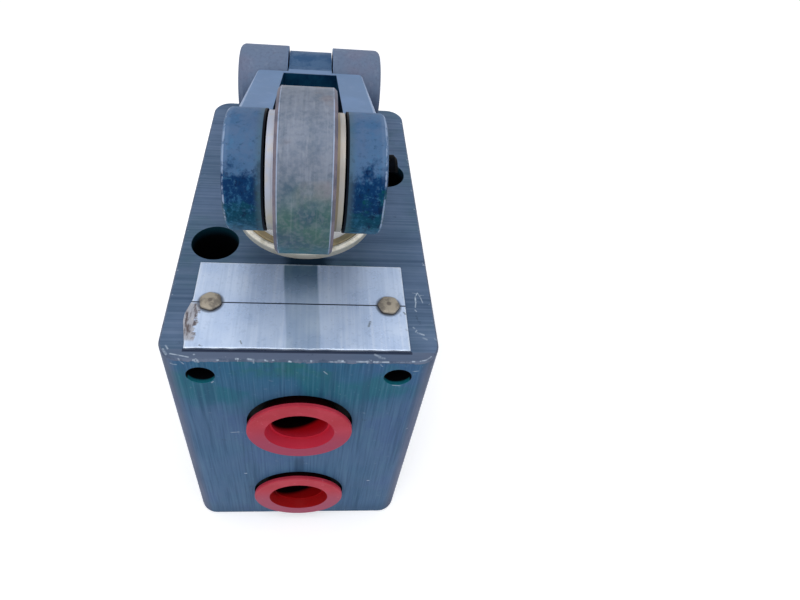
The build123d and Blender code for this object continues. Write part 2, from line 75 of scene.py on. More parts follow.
def colour(red, green, blue):
    """Linear colour from the 0 to 255 values that a screen shows."""
    def straighten(value):
        share = value / 255
        return share / 12.92 if share <= 0.04045 else ((share + 0.055) / 1.055) ** 2.4

    return (straighten(red), straighten(green), straighten(blue), 1.0)


class Finish:
    """A material with the node chains that the finishes below share."""

    def __init__(self, name, metallic=0.0, roughness=0.5, **sockets):
        self.material = bpy.data.materials.new(name)
        self.material.use_nodes = True
        self.nodes = self.material.node_tree.nodes
        self.links = self.material.node_tree.links
        self.shader = self.nodes["Principled BSDF"]
        self.shader.inputs["Metallic"].default_value = metallic
        self.shader.inputs["Roughness"].default_value = roughness
        for socket, value in sockets.items():
            self.shader.inputs[socket.replace("_", " ")].default_value = value
        place = self.nodes.new("ShaderNodeTexCoord")
        self.place = place.outputs["Object"]
        self.facing = place.outputs["Normal"]

    def join(self, value, socket):
        """Feeds a socket from a node's output, or sets it to a plain value."""
        if isinstance(value, bpy.types.NodeSocket):
            self.links.new(value, socket)
        else:
            socket.default_value = value

    def stretched(self, scale, offset=(0, 0, 0), turn=(0, 0, 0)):
        """Object coordinates, scaled per axis."""
        mapping = self.nodes.new("ShaderNodeMapping")
        mapping.inputs["Location"].default_value = offset
        mapping.inputs["Rotation"].default_value = turn
        mapping.inputs["Scale"].default_value = scale
        self.links.new(self.place, mapping.inputs["Vector"])
        return mapping.outputs["Vector"]

    def noise(self, scale, detail=4.0, roughness=0.55, stretch=(1, 1, 1), offset=(0, 0, 0), turn=(0, 0, 0)):
        """Cloudy pattern, with scale in waves per metre."""
        texture = self.nodes.new("ShaderNodeTexNoise")
        texture.inputs["Scale"].default_value = scale
        texture.inputs["Detail"].default_value = detail
        texture.inputs["Roughness"].default_value = roughness
        self.links.new(self.stretched(stretch, offset, turn), texture.inputs["Vector"])
        return texture.outputs["Fac"]

    def cells(self, scale, stretch=(1, 1, 1), offset=(0, 0, 0)):
        """Distance to scattered points, for pits and specks."""
        texture = self.nodes.new("ShaderNodeTexVoronoi")
        texture.inputs["Scale"].default_value = scale
        self.links.new(self.stretched(stretch, offset), texture.inputs["Vector"])
        return texture.outputs["Distance"]

    def ramp(self, value, low, high, start=0.0, end=1.0):
        """Smooth step of a value from start to end as it goes from low to high."""
        node = self.nodes.new("ShaderNodeMapRange")
        node.interpolation_type = "SMOOTHSTEP"
        self.join(value, node.inputs["Value"])
        node.inputs["From Min"].default_value = low
        node.inputs["From Max"].default_value = high
        node.inputs["To Min"].default_value = start
        node.inputs["To Max"].default_value = end
        return node.outputs["Result"]

    def maths(self, operation, first, second=0.0):
        """One sum on two values."""
        node = self.nodes.new("ShaderNodeMath")
        node.operation = operation
        self.join(first, node.inputs[0])
        self.join(second, node.inputs[1])
        return node.outputs["Value"]

    def axis(self, vector, letter):
        """One component of a vector."""
        node = self.nodes.new("ShaderNodeSeparateXYZ")
        self.links.new(vector, node.inputs["Vector"])
        return node.outputs[letter]

    def vector_maths(self, operation, first, second=(0, 0, 0), scale=1.0):
        """One sum on two vectors."""
        node = self.nodes.new("ShaderNodeVectorMath")
        node.operation = operation
        self.join(first, node.inputs[0])
        if operation == "SCALE":
            self.join(scale, node.inputs["Scale"])
        elif operation != "LENGTH":
            self.join(second, node.inputs[1])
        return node.outputs["Value" if operation in ("DOT_PRODUCT", "LENGTH") else "Vector"]

    def along(self, direction, origin):
        """How far a point lies along a direction, counted from an origin."""
        run = self.vector_maths("DOT_PRODUCT", self.place, tuple(direction))
        return self.maths("SUBTRACT", run, Vector(direction).dot(Vector(origin)))

    def from_axis(self, first, second, centre):
        """Distance from an axis that crosses two named coordinates at a centre."""
        across = self.maths("SUBTRACT", self.axis(self.place, first), centre[0])
        upward = self.maths("SUBTRACT", self.axis(self.place, second), centre[1])
        return self.maths("SQRT", self.maths("ADD", self.square(across), self.square(upward)))

    def square(self, value):
        return self.maths("MULTIPLY", value, value)

    def size_of(self, value):
        return self.maths("ABSOLUTE", value)

    def both(self, *masks):
        """Product of masks."""
        product = masks[0]
        for mask in masks[1:]:
            product = self.maths("MULTIPLY", product, mask)
        return product

    def any_of(self, *masks):
        """Largest of masks."""
        largest = masks[0]
        for mask in masks[1:]:
            largest = self.maths("MAXIMUM", largest, mask)
        return largest

    def under(self, value, limit, soft):
        """One where a value is under a limit, fading out over the soft width."""
        return self.ramp(value, limit + soft, limit)

    def over(self, value, limit, soft):
        """One where a value is over a limit, fading in over the soft width."""
        return self.ramp(value, limit - soft, limit)

    def between(self, value, low, high, soft):
        return self.both(self.over(value, low, soft), self.under(value, high, soft))

    def scratch(self, start, end, width):
        """Thin mark along a straight line on the surface."""
        start = Vector(start) * mm
        run = Vector(end) * mm - start
        away = self.vector_maths("SUBTRACT", self.place, tuple(start))
        share = self.vector_maths("DOT_PRODUCT", away, tuple(run / run.length_squared))
        share = self.maths("MINIMUM", self.maths("MAXIMUM", share, 0.0), 1.0)
        nearest = self.vector_maths("SCALE", tuple(run), scale=share)
        gap = self.vector_maths("LENGTH", self.vector_maths("SUBTRACT", away, nearest))
        return self.ramp(gap, width * mm * 1.3, 0.0)

    def mix(self, factor, first, second, kind="MIX"):
        """Mix of two colours."""
        node = self.nodes.new("ShaderNodeMix")
        node.data_type = "RGBA"
        node.blend_type = kind
        self.join(factor, node.inputs[0])
        self.join(first, node.inputs[6])
        self.join(second, node.inputs[7])
        return node.outputs[2]

    def paint(self, value):
        self.join(value, self.shader.inputs["Base Color"])

    def rough(self, value):
        self.join(value, self.shader.inputs["Roughness"])

    def bump(self, height, strength, distance=0.0002):
        """Small relief on top of the mesh."""
        node = self.nodes.new("ShaderNodeBump")
        node.inputs["Strength"].default_value = strength
        node.inputs["Distance"].default_value = distance
        self.join(height, node.inputs["Height"])
        self.links.new(node.outputs["Normal"], self.shader.inputs["Normal"])


def port_distance(finish):
    """Distance from the nearer port's axis."""
    lower = finish.from_axis("X", "Z", (0, port_heights[0]))
    upper = finish.from_axis("X", "Z", (0, port_heights[1]))
    return finish.maths("MINIMUM", lower, upper)


def near_hole(finish, axes, centre, radius):
    """One inside a hole's radius, with a crisp edge."""
    return finish.under(finish.from_axis(*axes, centre), radius + 0.02 * mm, 0.04 * mm)


def painted_shade_in_holes(finish, base, width, depth, height):
    """Paints shade into the block's holes, darkening their walls, with painted teal light on the walls near their
    mouths, and black painted shade in the port counterbores and an inner cavity low in the block.
    """
    black = colour(4, 6, 10)
    for side in (-1, 1):
        hole = near_hole(finish, ("X", "Y"), (side * diagonal_hole[0], side * diagonal_hole[1]), diagonal_hole_radius)
        wall = finish.mix(finish.ramp(height, 59.5 * mm, 61.8 * mm, 0, 0.55), black, colour(20, 66, 84))
        base = finish.mix(hole, base, wall)
        hole = near_hole(finish, ("X", "Z"), (side * front_hole[0], front_hole[1]), front_hole_radius)
        hole = finish.both(hole, finish.under(depth, -24 * mm, 0.5 * mm))
        lit = finish.both(
            finish.under(height, front_hole[1] - 1.0 * mm, 0.4 * mm), finish.under(depth, front_y + 0.4 * mm, 0.4 * mm)
        )
        wall = finish.mix(lit, black, colour(26, 108, 126))
        base = finish.mix(hole, base, wall)
    # Painted shade: black in the port counterbores behind the plug flanges.
    counterbore_shade = finish.under(port_distance(finish), counterbore_radius + 0.02 * mm, 0.05 * mm)
    counterbore_shade = finish.both(counterbore_shade, finish.between(depth, front_y + 0.02 * mm, -12 * mm, 0.02 * mm))
    # Painted shade: black on the walls of an inner cavity low in the block.
    cavity_shade = finish.both(
        finish.under(height, 30 * mm, 1 * mm),
        finish.over(height, 0.1 * mm, 0.05 * mm),
        finish.under(finish.size_of(width), 16 * mm, 0.5 * mm),
        finish.between(depth, -20 * mm, 34 * mm, 1 * mm),
    )
    return finish.mix(finish.any_of(counterbore_shade, cavity_shade), base, black)


# Pale marks on the block: start and end in millimetres, width, strength
body_marks = (
    ((19.9, -22.1, 62.0), (19.4, -23.0, 62.0), 0.13, 0.9),
    ((19.4, -23.0, 62.0), (19.4, -24.2, 62.0), 0.16, 1.0),
    ((19.4, -24.2, 62.0), (19.2, -25.3, 62.0), 0.13, 0.7),
    ((19.1, -25.9, 62.0), (19.3, -26.2, 62.0), 0.13, 0.6),
    ((19.0, -22.1, 62.0), (19.9, -22.2, 62.0), 0.10, 0.6),
    ((19.9, -22.1, 62.0), (20.3, -23.0, 62.0), 0.13, 0.9),
    ((20.3, -23.0, 62.0), (20.6, -24.3, 62.0), 0.12, 0.6),
    ((20.3, -22.6, 62.0), (20.9, -22.6, 62.0), 0.09, 0.5),
    ((18.4, -29.6, 62.0), (18.6, -29.8, 62.0), 0.16, 0.5),
    ((18.9, -30.2, 62.0), (18.7, -30.5, 62.0), 0.15, 0.5),
    ((19.0, -30.7, 62.0), (20.0, -31.1, 62.0), 0.18, 0.7),
    ((19.8, -31.7, 62.0), (20.4, -32.0, 62.0), 0.20, 0.35),
    ((-20.9, -33.9, 62.0), (-20.5, -34.5, 62.0), 0.16, 0.6),
    ((-21.2, -34.6, 62.0), (-20.6, -35.5, 62.0), 0.22, 0.6),
    ((-20.0, -35.4, 62.0), (-17.1, -36.0, 62.0), 0.14, 0.7),
    ((-16.4, -35.5, 62.0), (-16.3, -35.5, 62.0), 0.16, 0.6),
    ((12.5, -35.5, 62.0), (11.7, -35.1, 62.0), 0.22, 0.45),
    ((12.3, -35.6, 62.0), (13.2, -35.8, 62.0), 0.20, 0.5),
    ((18.8, -36.2, 62.0), (19.8, -36.0, 62.0), 0.12, 0.8),
    ((19.8, -36.0, 62.0), (20.7, -35.3, 62.0), 0.12, 0.7),
    ((-18.6, -36.3, 62.0), (-17.9, -36.5, 60.9), 0.16, 0.5),
    ((-19.1, -36.4, 60.6), (-20.0, -36.2, 60.5), 0.2, 0.5),
    ((-12.8, -36.3, 61.8), (-12.6, -36.3, 61.8), 0.16, 0.9),
    ((-9.9, -36.2, 62.0), (-9.6, -36.2, 62.0), 0.2, 1.0),
    ((-8.1, -36.2, 62.0), (-7.3, -36.3, 62.0), 0.2, 0.6),
    ((-7.3, -36.3, 62.0), (-7.2, -36.5, 61.3), 0.18, 0.5),
    ((-5.5, -36.3, 61.9), (-5.1, -36.4, 61.8), 0.16, 0.7),
    ((-4.3, -36.3, 61.9), (-4.1, -36.3, 61.9), 0.14, 0.7),
    ((-1.8, -36.4, 61.8), (-1.5, -36.4, 61.7), 0.17, 0.9),
    ((4.4, -36.4, 61.8), (6.9, -36.4, 61.8), 0.11, 0.55),
    ((5.9, -36.3, 61.9), (6.6, -36.3, 61.9), 0.18, 0.9),
    ((8.8, -36.4, 61.9), (10.7, -36.4, 61.9), 0.15, 0.9),
    ((11.4, -36.4, 61.9), (13.8, -36.4, 61.9), 0.16, 1.0),
    ((12.6, -36.5, 61.3), (12.9, -36.5, 60.9), 0.14, 0.5),
    ((14.6, -36.4, 61.9), (17.2, -36.4, 61.9), 0.10, 0.4),
    ((17.6, -36.3, 62.0), (17.9, -36.3, 62.0), 0.17, 0.9),
    ((3.7, -36.5, 59.2), (4.3, -36.5, 58.4), 0.14, 0.5),
    ((15.2, -36.5, 55.3), (16.6, -36.5, 55.2), 0.14, 0.55),
    ((18.0, -36.5, 59.5), (18.9, -36.5, 59.6), 0.14, 0.5),
    ((-14.2, -36.5, 55.6), (-13.9, -36.5, 55.9), 0.14, 0.6),
    ((-12.4, -36.5, 38.7), (-11.0, -36.5, 38.9), 0.17, 0.5),
    ((-10.9, -36.5, 21.1), (-10.7, -36.5, 21.1), 0.24, 0.9),
    ((14.5, -36.5, 17.3), (14.8, -36.5, 17.3), 0.2, 0.8),
    ((-22.25, 8.0, 40.0), (-22.25, -6.0, 31.0), 0.12, 0.7),
    ((-22.25, 21.0, 52.0), (-22.25, 12.0, 55.0), 0.14, 0.6),
    ((-22.25, -22.0, 12.0), (-22.25, -9.0, 15.0), 0.10, 0.6),
    ((22.25, -14.0, 30.0), (22.25, 2.0, 36.0), 0.12, 0.7),
    ((22.25, 16.0, 18.0), (22.25, 20.0, 9.0), 0.14, 0.6),
    ((22.25, -26.0, 48.0), (22.25, -20.0, 50.0), 0.14, 0.6),
    ((-9.0, 36.5, 40.0), (3.0, 36.5, 34.0), 0.12, 0.7),
    ((8.0, 36.5, 14.0), (13.0, 36.5, 22.0), 0.14, 0.6),
)


def body_top(finish, width, depth, cloud, tint, grime):
    """Top of the block: slate with thin streaks from side to side, a painted shadow along the plate's front edge and a
    painted shadow in front of the ring.
    """
    fine = finish.noise(1.0, detail=2, stretch=(34, 2300, 60))
    wide = finish.noise(1.0, detail=3, stretch=(16, 560, 40), offset=(3, 7, 1))
    top = finish.mix(finish.ramp(cloud, 0.35, 0.65), colour(82, 105, 133), colour(98, 119, 150))
    top = finish.mix(finish.ramp(tint, 0.5, 0.68, 0, 0.5), top, colour(72, 104, 118))
    top = finish.mix(finish.ramp(wide, 0.52, 0.72, 0, 0.5), top, colour(60, 82, 110))
    top = finish.mix(finish.ramp(wide, 0.42, 0.3, 0, 0.3), top, colour(104, 122, 148))
    top = finish.mix(finish.ramp(fine, 0.5, 0.68, 0, 0.26), top, colour(118, 136, 164))
    top = finish.mix(finish.ramp(fine, 0.48, 0.34, 0, 0.26), top, colour(52, 72, 100))
    front_strip = finish.both(
        finish.under(depth, front_y + 1.75 * mm, 0.35 * mm), finish.ramp(cloud, 0.25, 0.55, 0.45, 0.95)
    )
    top = finish.mix(front_strip, top, colour(92, 104, 128))
    # Painted shadow: a dark line on the top face along the plate's front edge.
    shadow_under_plate = finish.between(depth, -34.95 * mm, -34.5 * mm, 0.12 * mm)
    shadow_under_plate = finish.both(shadow_under_plate, finish.between(width, -18.2 * mm, 17.6 * mm, 0.2 * mm))
    top = finish.mix(finish.ramp(shadow_under_plate, 0, 1, 0, 0.8), top, colour(28, 36, 58))
    # Painted shadow: a dark soft patch on the top face in front of the ring, under the roller.
    across = finish.size_of(finish.maths("SUBTRACT", width, 0.6 * mm))
    across = finish.maths("ADD", across, finish.maths("MULTIPLY", grime, 3 * mm))
    shadow_by_ring = finish.both(
        finish.ramp(across, 7.5 * mm, 3.2 * mm), finish.between(depth, -17.5 * mm, -14.4 * mm, 0.5 * mm)
    )
    return finish.mix(finish.ramp(shadow_by_ring, 0, 1, 0, 0.92), top, colour(4, 36, 56)), fine


def body_sides(finish, width, depth, height, cloud, tint, grime, sideways):
    """Upright faces: blue with teal and green patches high up, and thin upright streaks, with a pale line on the
    rounded corners that is partly worn paint and partly painted highlight.
    """
    fine = finish.noise(1.0, detail=3, stretch=(2600, 2600, 70))
    wide = finish.noise(1.0, detail=3, stretch=(420, 420, 26), offset=(2, 5, 9))
    fleck = finish.noise(1300, detail=3, offset=(4, 2, 3))
    high = finish.ramp(finish.maths("ADD", height, finish.maths("MULTIPLY", tint, 18 * mm)), 53 * mm, 68 * mm)
    side = finish.mix(high, colour(72, 104, 140), colour(46, 98, 132))
    patch = finish.both(finish.ramp(tint, 0.46, 0.62), finish.ramp(high, 0.0, 1.0, 0.1, 0.85))
    side = finish.mix(patch, side, colour(38, 102, 122))
    green = finish.both(
        finish.ramp(cloud, 0.5, 0.62), finish.ramp(height, 54 * mm, 60 * mm), finish.ramp(tint, 0.38, 0.52)
    )
    side = finish.mix(finish.ramp(green, 0, 1, 0, 0.55), side, colour(40, 102, 96))
    side = finish.mix(finish.ramp(cloud, 0.48, 0.36, 0, 0.5), side, colour(62, 92, 140))
    side = finish.mix(finish.ramp(wide, 0.52, 0.7, 0, 0.5), side, colour(40, 76, 108))
    side = finish.mix(finish.ramp(wide, 0.42, 0.3, 0, 0.35), side, colour(84, 116, 150))
    side = finish.mix(finish.ramp(fine, 0.5, 0.66, 0, 0.22), side, colour(92, 132, 160))
    side = finish.mix(finish.ramp(fine, 0.5, 0.34, 0, 0.35), side, colour(34, 68, 102))
    side = finish.mix(finish.ramp(fleck, 0.64, 0.74, 0, 0.16), side, colour(104, 150, 168))
    side = finish.mix(finish.ramp(height, 7 * mm, 0, 0, 0.4), side, colour(44, 72, 100))
    stain = finish.both(
        finish.under(finish.size_of(width), 0.5 * mm, 1.0 * mm),
        finish.between(height, 22 * mm, 26 * mm, 4 * mm),
        finish.under(depth, front_y + 0.5 * mm, 0.1 * mm),
    )
    side = finish.mix(finish.ramp(stain, 0, 1, 0, 0.5), side, colour(34, 60, 88))
    rubbed = finish.mix(finish.ramp(wide, 0.35, 0.65), colour(70, 80, 106), colour(92, 100, 128))
    rounded = finish.both(finish.ramp(sideways, 0.1, 0.7, 0, 0.85), finish.ramp(sideways, 0.98, 0.9, 0.4, 1))
    side = finish.mix(rounded, side, rubbed)
    # Pale line on the rounded corners: partly worn paint, partly painted highlight.
    worn_line_and_highlight = finish.both(finish.between(sideways, 0.84, 0.92, 0.06), finish.ramp(grime, 0.4, 0.62, 0.1, 0.75))
    return finish.mix(worn_line_and_highlight, side, colour(126, 138, 164)), fine


def body_paint():
    """Slate paint over brushed metal: streaked, with bare chips and rubbed edges."""
    finish = Finish("body_paint", roughness=0.5, Specular_IOR_Level=0.07)
    width = finish.axis(finish.place, "X")
    depth = finish.axis(finish.place, "Y")
    height = finish.axis(finish.place, "Z")
    upward = finish.ramp(finish.axis(finish.facing, "Z"), 0.5, 0.9)
    sideways = finish.size_of(finish.axis(finish.facing, "X"))
    cloud = finish.noise(75, detail=5)
    tint = finish.noise(95, detail=4, offset=(0.3, 0.1, 0.7))
    grime = finish.noise(430, detail=5, roughness=0.65)
    top, top_grain = body_top(finish, width, depth, cloud, tint, grime)
    side, side_grain = body_sides(finish, width, depth, height, cloud, tint, grime, sideways)

    wander = finish.maths("MULTIPLY", finish.maths("SUBTRACT", grime, 0.5), 1.8 * mm)
    over_edge = finish.over(finish.maths("ADD", height, wander), block_height - 0.3 * mm, 0.15 * mm)
    on_corner = finish.both(over_edge, finish.under(finish.axis(finish.facing, "Z"), 0.6, 0.05))
    rim_colour = finish.mix(finish.ramp(grime, 0.4, 0.6), colour(78, 88, 110), colour(108, 118, 140))
    side = finish.mix(on_corner, side, rim_colour)
    base = finish.mix(upward, side, top)
    bevel = finish.between(finish.axis(finish.facing, "Z"), 0.55, 0.85, 0.05)
    base = finish.mix(finish.ramp(bevel, 0, 1, 0, 0.75), base, rim_colour)

    base = finish.mix(finish.ramp(grime, 0.66, 0.74, 0, 0.3), base, colour(120, 142, 166))
    base = finish.mix(finish.ramp(grime, 0.34, 0.27, 0, 0.4), base, colour(36, 52, 74))
    chip_noise = finish.noise(640, detail=5, roughness=0.7, offset=(1.3, 0.2, 0.4))
    near_rim = finish.over(finish.maths("ADD", height, wander), block_height - 0.7 * mm, 0.5 * mm)
    away = finish.maths("SUBTRACT", finish.size_of(width), block_width / 2 - 0.5 * mm)
    away = finish.maths("MAXIMUM", away, finish.maths("SUBTRACT", front_y + 0.5 * mm, depth))
    away = finish.maths("MAXIMUM", away, finish.maths("SUBTRACT", depth, -front_y - 0.5 * mm))
    near_edge = finish.over(away, 0.0, 0.3 * mm)
    chips = finish.both(near_rim, near_edge, finish.ramp(chip_noise, 0.62, 0.66))
    foot = finish.both(
        finish.under(finish.maths("ADD", height, wander), 0.6 * mm, 0.4 * mm), finish.ramp(chip_noise, 0.56, 0.6)
    )
    knocks = finish.both(
        finish.over(sideways, 0.3, 0.1), finish.under(finish.maths("ABSOLUTE", finish.axis(finish.facing, "Z")), 0.3, 0.1),
        finish.ramp(chip_noise, 0.66, 0.7), finish.under(sideways, 0.95, 0.03),
    )
    chips = finish.any_of(chips, foot, knocks)
    base = finish.mix(finish.ramp(chips, 0, 1, 0, 0.65), base, colour(166, 180, 198))

    flake = finish.noise(1900, detail=3, roughness=0.6, offset=(5, 5, 1))
    broken = finish.ramp(flake, 0.38, 0.54, 0.3, 1)
    marks = [finish.maths("MULTIPLY", finish.scratch(*mark[:3]), mark[3]) for mark in body_marks]
    marked = finish.both(broken, finish.any_of(*marks))
    base = finish.mix(marked, base, colour(190, 206, 224))
    base = painted_shade_in_holes(finish, base, width, depth, height)
    finish.paint(base)
    finish.rough(finish.ramp(cloud, 0.3, 0.7, 0.45, 0.6))
    grain = finish.axis(finish.mix(upward, side_grain, top_grain), "X")
    relief = finish.maths("ADD", grain, finish.maths("MULTIPLY", finish.any_of(chips, marked), -2.0))
    finish.bump(relief, 0.25, 0.00005)
    return finish.material


def boss_paint_and_shade(finish, width, height, cloud, mottle):
    """Paint of the round bosses: blue high up and lighter at the top as painted light, darkening lower down as painted
    shade, mottled navy and teal low down, and near black on the inner faces as painted shade.
    """
    uneven = finish.maths("MULTIPLY", finish.maths("SUBTRACT", mottle, 0.5), 15 * mm)
    level = finish.maths("ADD", height, uneven)
    strands = finish.noise(1.0, detail=5, roughness=0.7, stretch=(800, 420, 420), offset=(1, 4, 2))
    boss = finish.mix(finish.ramp(cloud, 0.35, 0.65), colour(56, 94, 136), colour(76, 108, 146))
    # Painted light at the top of the bosses and painted shade darkening them lower down, with green and teal stains.
    boss = finish.mix(finish.ramp(level, 90 * mm, 93 * mm, 0, 0.6), boss, colour(88, 110, 144))
    boss = finish.mix(finish.ramp(level, 89.5 * mm, 86.5 * mm), boss, colour(3, 48, 92))
    boss = finish.mix(finish.ramp(level, 84 * mm, 82 * mm), boss, colour(2, 64, 88))
    green = finish.both(finish.ramp(cloud, 0.5, 0.62), finish.ramp(level, 86 * mm, 83 * mm))
    boss = finish.mix(finish.ramp(green, 0, 1, 0, 0.7), boss, colour(3, 80, 72))
    boss = finish.mix(finish.ramp(level, 79.8 * mm, 77.6 * mm), boss, colour(48, 96, 124))
    pale = finish.both(finish.ramp(strands, 0.54, 0.68), finish.ramp(level, 92 * mm, 87 * mm, 0.1, 0.42))
    boss = finish.mix(pale, boss, colour(58, 120, 164))
    deep = finish.both(finish.ramp(strands, 0.44, 0.34), finish.ramp(level, 90 * mm, 86 * mm, 0, 0.7))
    boss = finish.mix(deep, boss, colour(2, 24, 60))
    speck = finish.noise(1500, detail=4, roughness=0.65, offset=(6, 1, 2))
    low_down = finish.ramp(level, 93 * mm, 88 * mm, 0.25, 1)
    boss = finish.mix(finish.both(finish.ramp(speck, 0.54, 0.66, 0, 0.32), low_down), boss, colour(70, 126, 166))
    boss = finish.mix(finish.both(finish.ramp(speck, 0.46, 0.34, 0, 0.45), low_down), boss, colour(2, 26, 60))
    inner = finish.ramp(width, 7.4 * mm, 6.2 * mm, 0, 0.5)
    boss = finish.mix(inner, boss, colour(84, 108, 118))
    # Painted shade: near black on the inner faces in the gap beside the washers.
    return finish.mix(finish.under(width, 6.1 * mm, 0.1 * mm), boss, colour(4, 8, 18))


def lever_paint():
    """Blue painted casting: pale shoulders with pale edges of worn paint and painted highlights, painted shade on the
    flanks, knuckle and in the window, and bosses with painted shade and teal stains low down.
    """
    finish = Finish("lever_paint", roughness=0.45, Specular_IOR_Level=0.06)
    mottle = finish.noise(340, detail=6, roughness=0.68)
    cloud = finish.noise(130, detail=4)
    width = finish.size_of(finish.axis(finish.place, "X"))
    height = finish.axis(finish.place, "Z")
    reach = finish.along(lever_line, pivot)
    rise = finish.along(lever_up, pivot)
    base = finish.mix(finish.ramp(cloud, 0.35, 0.7), colour(104, 131, 168), colour(116, 142, 180))
    base = finish.mix(finish.ramp(mottle, 0.55, 0.7, 0, 0.3), base, colour(132, 152, 186))
    # Painted shade: darker flanks below the lever's top and a darker knuckle at the pivot, where the surfaces turn away
    # from the light.
    flank_shade = finish.mix(finish.ramp(mottle, 0.36, 0.62), colour(44, 74, 112), colour(74, 106, 146))
    base = finish.mix(finish.ramp(rise, 4.5 * mm, 1.5 * mm), base, flank_shade)
    knuckle_shade = finish.mix(finish.ramp(mottle, 0.4, 0.6), colour(52, 84, 122), colour(74, 102, 136))
    base = finish.mix(finish.under(reach, 7.2 * mm, 0.5 * mm), base, knuckle_shade)
    on_boss = finish.over(reach, lever_reach - 8.6 * mm, 0.7 * mm)
    base = finish.mix(on_boss, base, boss_paint_and_shade(finish, width, height, cloud, mottle))

    # Pale edge lines on the boss rims, shoulders and boss top: partly worn paint, partly painted highlights.
    patchy = finish.ramp(mottle, 0.4, 0.56, 0.1, 1)
    thin_rim = finish.both(finish.between(width, 11.32 * mm, 11.5 * mm, 0.12 * mm), patchy)
    boss_side_highlight = finish.both(finish.over(width, 10.9 * mm, 0.5 * mm), finish.ramp(height, 86 * mm, 89 * mm, 0, 0.22))
    rim = finish.both(finish.any_of(thin_rim, boss_side_highlight), finish.over(reach, 34 * mm, 1 * mm))
    arm_edge = finish.maths("ADD", 10.3 * mm, finish.maths("MULTIPLY", reach, 0.034))
    arm_edge = finish.maths("SUBTRACT", width, arm_edge)
    arm_edge = finish.both(finish.over(arm_edge, -0.3 * mm, 0.15 * mm), finish.over(rise, 5.15 * mm, 0.15 * mm))
    arm_edge = finish.both(arm_edge, finish.under(reach, 36 * mm, 1 * mm))
    boss_top_highlight = finish.both(
        finish.over(rise, 5.5 * mm, 0.3 * mm), finish.between(reach, 36.4 * mm, 37.4 * mm, 0.4 * mm), patchy
    )
    edges = finish.any_of(rim, arm_edge, finish.ramp(boss_top_highlight, 0, 1, 0, 0.7))
    base = finish.mix(finish.ramp(edges, 0, 1, 0, 0.75), base, colour(156, 176, 208))

    # Painted shade in the window under the roller, darkest near the roller.
    window = finish.both(
        finish.under(width, 6.0 * mm, 0.05 * mm),
        finish.over(reach, 10.2 * mm, 0.1 * mm),
        finish.under(rise, 5.45 * mm, 0.1 * mm),
    )
    shade = finish.mix(finish.ramp(mottle, 0.35, 0.65), colour(4, 40, 72), colour(14, 62, 92))
    shade = finish.mix(finish.ramp(reach, 14 * mm, 24 * mm), shade, colour(3, 12, 26))
    base = finish.mix(window, base, shade)
    finish.paint(base)
    finish.rough(finish.ramp(cloud, 0.3, 0.7, 0.4, 0.55))
    finish.bump(mottle, 0.25, 0.0001)
    return finish.material


def bracket_metal():
    """Matt grey casting, blasted, lighter and greyer on top and darker low down as painted light and shade."""
    finish = Finish("bracket_metal", roughness=0.62, Specular_IOR_Level=0.12)
    fine = finish.noise(1500, detail=3)
    cloud = finish.noise(150, detail=4)
    streak = finish.noise(1.0, detail=3, stretch=(700, 700, 60), offset=(2, 1, 5))
    height = finish.maths("ADD", finish.axis(finish.place, "Z"), finish.maths("MULTIPLY", cloud, 3 * mm))
    # Painted light and shade: lighter on top, darker low down next to the block.
    base = finish.mix(finish.ramp(height, 72 * mm, 79 * mm), colour(70, 86, 114), colour(104, 121, 148))
    base = finish.mix(finish.ramp(height, 72.5 * mm, 66.5 * mm, 0, 0.8), base, colour(30, 38, 64))
    base = finish.mix(finish.ramp(cloud, 0.48, 0.66, 0, 0.6), base, colour(112, 116, 140))
    base = finish.mix(finish.ramp(streak, 0.56, 0.7, 0, 0.35), base, colour(126, 140, 164))
    base = finish.mix(finish.ramp(fine, 0.45, 0.7, 0, 0.3), base, colour(84, 92, 118))
    inner = finish.under(finish.size_of(finish.axis(finish.place, "X")), 4.75 * mm, 0.05 * mm)
    base = finish.mix(finish.ramp(inner, 0, 1, 0, 0.8), base, colour(104, 128, 164))
    finish.paint(base)
    finish.bump(fine, 0.3, 0.0001)
    return finish.material


